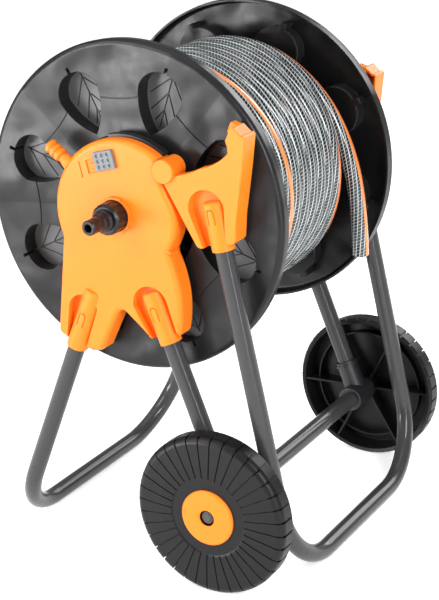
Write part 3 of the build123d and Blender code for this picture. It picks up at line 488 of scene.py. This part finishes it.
class Paintwork:
    """Builds every finish once and puts it on the CAD pieces by their material slot."""

    def __init__(self) -> None:
        """Build the shared group and the materials."""
        skin = MouldedSkin().build()
        built = {finish: finish.build(skin) for finish in dict.fromkeys(FINISHES.values())}
        self.materials = {slot: built[finish] for slot, finish in FINISHES.items()}

    def dress(self) -> None:
        """Give each CAD piece the material of its slot, apart from the hose, which is replaced."""
        for part in frame["record"]["subparts"]:
            slot = Slot(part["material_slot"])
            if slot is Slot.HOSE:
                continue
            for holder in frame["nodes"][part["node"]].material_slots:
                holder.material = self.materials[slot]
            log.info("%s: %s", part["node"], self.materials[slot].name)


# ---------------------------------------------------------------- hose
@dataclass(frozen=True)
class HoseRing:
    """One cross-section of the hose, with its stripe's angle and its place along the hose."""

    centre: Vector
    out: Vector
    side: Vector
    stripe: float
    along: float

    def corners(self, radius: float, sides: int) -> list[Vector]:
        """Corners of the section, counted from the seam opposite the stripe.

        Args:
            radius: Radius in metres.
            sides: Number of corners.

        Returns:
            The corners in order.
        """
        found = []
        for step in range(sides):
            angle = self.stripe + math.pi + math.tau * step / sides
            spoke = self.out * math.cos(angle) + self.side * math.sin(angle)
            found.append(self.centre + spoke * radius)
        return found


@dataclass(frozen=True)
class Hose:
    """The wound hose and its free end, one cord on the reel. Lengths are in millimetres.

    Control points stand outside each arc by the factor that a smooth line through thirty
    degree steps needs.
    """

    radius: float = 10.0
    bore: float = 6.5
    bore_depth: float = 30.0
    cut_width: float = 3.0
    start_angle: float = 67.0
    step: float = 30.0
    turns: float = 31.6667
    sides: int = 20
    resolution: int = 8
    # turns wound so far, radius and Y, from the outlet clamp through three layers
    winding: tuple[Triple, ...] = (
        (0.0, 97.0, -97.0), (0.5, 102.0, -107.4), (10.5, 102.0, 107.4), (11.0, 120.5, 107.4),
        (21.5, 120.5, -107.4), (22.0, 139.5, -107.4), (22.0, 139.5, -109.5), (31.0, 139.5, 74.1),
        (32.0, 139.5, 87.6),
    )
    # angle and Y of the last half turn, then X from the reel's axis, Z and Y of the free end
    last_turn: tuple[Pair, ...] = (
        (187, 84.5), (157, 86.5), (127, 88.5), (97, 91), (67, 93.5), (37, 95.5),
    )
    free_end: tuple[Triple, ...] = ((147, 437, 97), (160.5, 364, 100.5), (157.5, 297, 104))
    # turns wound so far and the stripe's angle from straight outwards, towards +Y
    stripe_keys: tuple[Pair, ...] = (
        (0.0, 180.0), (22.0, 180.0), (24.45, 180.0), (24.75, 2.0), (25.45, 8.0), (25.75, 180.0),
        (30.3, 180.0), (30.9, 80.0), (31.12, 62.0), (31.19, 14.0), (31.24, 14.0), (31.34, 70.0),
        (31.92, 72.0), (32.04, 32.0), (32.2, 9.0), (33.0, -5.0),
    )

    def polar(self, radius: float, angle: float, y: float) -> Vector:
        """Point round the reel's axis.

        Args:
            radius: Distance from the axis.
            angle: Degrees from +X towards +Z.
            y: Place along the axis.

        Returns:
            The point in metres.
        """
        turn = math.radians(angle)
        across, up = radius * MM * math.cos(turn), radius * MM * math.sin(turn)
        return Vector((REEL_X + across, y * MM, REEL_Z + up))

    def wound(self, turn: float) -> Pair:
        """Radius and Y of the winding after a number of turns."""
        for (before, radius, y), (after, next_radius, next_y) in zip(self.winding, self.winding[1:]):
            if turn < after:
                share = (turn - before) / (after - before)
                return radius + share * (next_radius - radius), y + share * (next_y - y)
        return self.winding[-1][1:]

    def route_points(self) -> list[Vector]:
        """Control points of the whole hose, from the outlet clamp to the free end."""
        stretch = 1 / math.cos(math.radians(self.step / 2))
        _, first_radius, first_y = self.winding[0]
        points = [self.polar(first_radius, self.start_angle, first_y)]
        for index in range(1, round(self.turns * 360 / self.step)):
            radius, y = self.wound(index * self.step / 360)
            points.append(self.polar(radius * stretch, self.start_angle - index * self.step, y))
        outer_radius = self.winding[-1][1]
        for angle, y in self.last_turn:
            points.append(self.polar(outer_radius * stretch, angle, y))
        for x, z, y in self.free_end:
            points.append(Vector((REEL_X + x * MM, y * MM, z * MM)))
        return points

    def route(self) -> list[Vector]:
        """Points along the smooth line through the control points."""
        curve = bpy.data.curves.new("hose_route", "CURVE")
        curve.dimensions = "3D"
        points = self.route_points()
        spline = curve.splines.new("NURBS")
        spline.points.add(len(points) - 1)
        for place, point in zip(spline.points, points):
            place.co = (*point, 1.0)
        spline.order_u = 3
        spline.use_endpoint_u = True
        spline.resolution_u = self.resolution
        holder = bpy.data.objects.new("hose_route", curve)
        bpy.context.collection.objects.link(holder)
        bpy.context.view_layer.update()
        line = bpy.data.meshes.new_from_object(holder.evaluated_get(bpy.context.evaluated_depsgraph_get()))
        found = [vertex.co.copy() for vertex in line.vertices]
        bpy.data.objects.remove(holder)
        bpy.data.curves.remove(curve)
        bpy.data.meshes.remove(line)
        return found

    def stripe_angle(self, turn: float) -> float:
        """Degrees from straight outwards, towards +Y, at which the stripe lies after some turns."""
        for (before, low), (after, high) in zip(self.stripe_keys, self.stripe_keys[1:]):
            if turn <= after:
                share = max(0.0, (turn - before) / (after - before))
                return low + (high - low) * share * share * (3 - 2 * share)
        return self.stripe_keys[-1][1]

    def rings(self, line: list[Vector]) -> list[HoseRing]:
        """Set a cross-section on each point of the line.

        Args:
            line: Points along the hose.

        Returns:
            The rings, each square to the line and turned to where the stripe lies.
        """
        axis = Vector((0, 1, 0))
        found: list[HoseRing] = []
        along, turned, last_angle = 0.0, 0.0, 0.0
        for index, point in enumerate(line):
            behind = line[max(index - 1, 0)]
            ahead = line[min(index + 1, len(line) - 1)]
            tangent = (ahead - behind).normalized()
            spoke = Vector((point.x - REEL_X, 0, point.z - REEL_Z))
            angle = math.atan2(spoke.z, spoke.x)
            if index:
                along += (point - behind).length
                turned += abs((angle - last_angle + math.pi) % math.tau - math.pi) / math.tau
            last_angle = angle
            out = (spoke - tangent * spoke.dot(tangent)).normalized()
            side = (axis - tangent * axis.dot(tangent) - out * axis.dot(out)).normalized()
            found.append(HoseRing(point, out, side, math.radians(self.stripe_angle(turned)), along))
        return found

    def wall(self, rings: list[HoseRing]) -> bpy.types.Mesh:
        """Skin the rings, with a flat cut end and a short bore going back inside it.

        Args:
            rings: The hose's cross-sections.

        Returns:
            The closed mesh with its UV map.
        """
        end = rings[-1]
        back = (end.centre - rings[-2].centre).normalized()
        lip = replace(end, along=end.along + self.cut_width * MM)
        deep = replace(lip, centre=end.centre - back * self.bore_depth * MM,
                       along=lip.along + self.bore_depth * MM)
        verts: list[Vector] = []
        for ring in rings:
            verts += ring.corners(self.radius * MM, self.sides)
        for ring in (lip, deep):
            verts += ring.corners(self.bore * MM, self.sides)
        lengths = [ring.along for ring in (*rings, lip, deep)]
        faces: list[tuple[int, ...]] = []
        uvs: list[tuple[Pair, ...]] = []
        for index, (low, high) in enumerate(zip(lengths, lengths[1:])):
            first, second = index * self.sides, (index + 1) * self.sides
            for step in range(self.sides):
                after = (step + 1) % self.sides
                left, right = step / self.sides, (step + 1) / self.sides
                faces.append((first + step, first + after, second + after, second + step))
                uvs.append(((left, low), (right, low), (right, high), (left, high)))
        last = (len(lengths) - 1) * self.sides
        faces += [tuple(reversed(range(self.sides))), tuple(range(last, last + self.sides))]
        uvs += [((0.25, 0.0),) * self.sides] * 2
        mesh = bpy.data.meshes.new("garden_hose")
        mesh.from_pydata(verts, [], faces)
        layer = mesh.uv_layers.new(name="hose_uv")
        for polygon, corners in zip(mesh.polygons, uvs):
            for loop, corner in zip(polygon.loop_indices, corners):
                layer.data[loop].uv = corner
        return mesh

    def build(self, material: bpy.types.Material) -> None:
        """Args:
            material: Finish of the hose.
        """
        line = self.route()
        rings = self.rings(line)
        hose = bpy.data.objects.new("garden_hose", self.wall(rings))
        bpy.context.collection.objects.link(hose)
        deselect()
        bpy.context.view_layer.objects.active = hose
        hose.select_set(True)
        bpy.ops.object.mode_set(mode="EDIT")
        bpy.ops.mesh.select_all(action="SELECT")
        bpy.ops.mesh.normals_make_consistent(inside=False)
        bpy.ops.object.mode_set(mode="OBJECT")
        bpy.ops.object.shade_smooth_by_angle(angle=math.radians(40))
        hose.data.materials.append(material)
        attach(hose, "reel")
        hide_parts("hose_coil", "hose_tail")


# ---------------------------------------------------------------- studio
@dataclass(frozen=True)
class SoftLight:
    """One rectangular softbox."""

    name: str
    place: Place
    aim: Place
    width: float
    height: float
    power: float

    def build(self) -> None:
        """Add the light."""
        lamp = bpy.data.lights.new(self.name, "AREA")
        lamp.shape = "RECTANGLE"
        lamp.size, lamp.size_y = self.width, self.height
        lamp.energy = self.power
        holder = bpy.data.objects.new(self.name, lamp)
        holder.location = self.place
        holder.visible_camera = False
        aim = Vector(self.aim) - Vector(self.place)
        holder.rotation_euler = aim.to_track_quat("-Z", "Y").to_euler()
        bpy.context.collection.objects.link(holder)


@dataclass(frozen=True)
class StudioAir:
    """Even light from overhead and all round."""

    overhead_power: float = 0.6
    overhead_spread: float = 60.0
    overhead_tilt: Pair = (12.0, -14.0)
    fill_strength: float = 0.3

    def build(self) -> None:
        """Add the overhead light and the world."""
        sky = bpy.data.lights.new("overhead", "SUN")
        sky.energy = self.overhead_power
        sky.angle = math.radians(self.overhead_spread)
        holder = bpy.data.objects.new("overhead", sky)
        holder.rotation_euler = (*(math.radians(tilt) for tilt in self.overhead_tilt), 0.0)
        bpy.context.collection.objects.link(holder)
        world = bpy.data.worlds.new("studio_air")
        world.use_nodes = True
        background = world.node_tree.nodes["Background"]
        background.inputs["Color"].default_value = (1.0, 1.0, 1.0, 1.0)
        background.inputs["Strength"].default_value = self.fill_strength
        bpy.context.scene.world = world


@dataclass(frozen=True)
class StudioCamera:
    """Long lens to the right of the water inlet, looking down on the reel."""

    place: Place = (0.98553, -1.63405, 0.89931)
    yaw: float = 30.498
    pitch: float = 14.584
    roll: float = -3.640
    lens: float = 101.286
    sensor: float = 36.0
    shift: Pair = (0.0, -0.2)
    clip: Pair = (0.05, 50.0)

    def build(self) -> None:
        """Add the camera and make it the scene's."""
        yaw, pitch, roll = (math.radians(angle) for angle in (self.yaw, self.pitch, self.roll))
        back = Vector((math.sin(yaw) * math.cos(pitch), -math.cos(yaw) * math.cos(pitch), math.sin(pitch)))
        level = Vector((math.cos(yaw), math.sin(yaw), 0))
        up = back.cross(level)
        right = level * math.cos(roll) + up * math.sin(roll)
        over = up * math.cos(roll) - level * math.sin(roll)
        lens = bpy.data.cameras.new("camera")
        lens.lens = self.lens
        lens.sensor_width = self.sensor
        lens.shift_x, lens.shift_y = self.shift
        lens.clip_start, lens.clip_end = self.clip
        camera = bpy.data.objects.new("camera", lens)
        turn = Matrix((right, over, back)).transposed().to_4x4()
        camera.matrix_world = Matrix.Translation(self.place) @ turn
        bpy.context.collection.objects.link(camera)
        bpy.context.scene.camera = camera


@dataclass(frozen=True)
class StudioFloor:
    """Plain pale floor, slightly lit from within so that it stays white round the cart."""

    size: float = 30.0
    low_tone: Colour = (0.9, 0.9, 0.9)
    high_tone: Colour = (0.94, 0.94, 0.94)
    roughness: float = 0.9
    glow: float = 0.55

    def build(self) -> None:
        """Add the floor."""
        deselect()
        bpy.ops.mesh.primitive_plane_add(size=self.size, location=(0, 0, 0))
        floor = bpy.context.object
        floor.name = "studio_floor"
        sheet = MaterialSheet("pale_floor")
        tone = sheet.mix(sheet.noise(2.0, 2.0), shade(self.low_tone), shade(self.high_tone))
        sheet.surface(Base_Color=tone, Roughness=self.roughness,
                      Emission_Color=(1.0, 1.0, 1.0, 1.0), Emission_Strength=self.glow)
        floor.data.materials.append(sheet.material)


@dataclass(frozen=True)
class Studio:
    """Camera, floor and lights round the cart."""

    lights: tuple[SoftLight, ...] = (
        SoftLight("key", (-1.0, -1.5, 1.5), (0.0, -0.1, 0.4), 1.0, 0.9, 21.0),
        SoftLight("low_left", (-1.55, -2.0, 0.36), (0.0, -0.1, 0.4), 1.1, 0.6, 48.0),
        SoftLight("upper_right", (1.5, -1.1, 1.15), (0.1, 0.0, 0.45), 0.3, 1.1, 22.0),
        SoftLight("strip_right", (1.83, -1.09, 0.8), (0.1, 0.0, 0.35), 0.1, 1.8, 14.0),
        SoftLight("back", (0.7, 2.3, 1.5), (0.0, 0.0, 0.35), 1.6, 1.2, 40.0),
        SoftLight("top", (0.2, 0.1, 2.6), (0.0, 0.0, 0.3), 1.8, 1.8, 8.0),
    )

    def build(self) -> None:
        """Add everything round the cart."""
        StudioCamera().build()
        StudioFloor().build()
        for light in self.lights:
            light.build()
        StudioAir().build()
        bpy.context.scene.view_settings.view_transform = "Standard"


def main() -> None:
    """Set up the studio, dress the CAD pieces and wind the hose."""
    logging.basicConfig(level=logging.INFO, format="%(name)s: %(message)s")
    Studio().build()
    Paintwork().dress()
    Hose().build(BraidedHose().build())


if __name__ == "__main__":
    main()
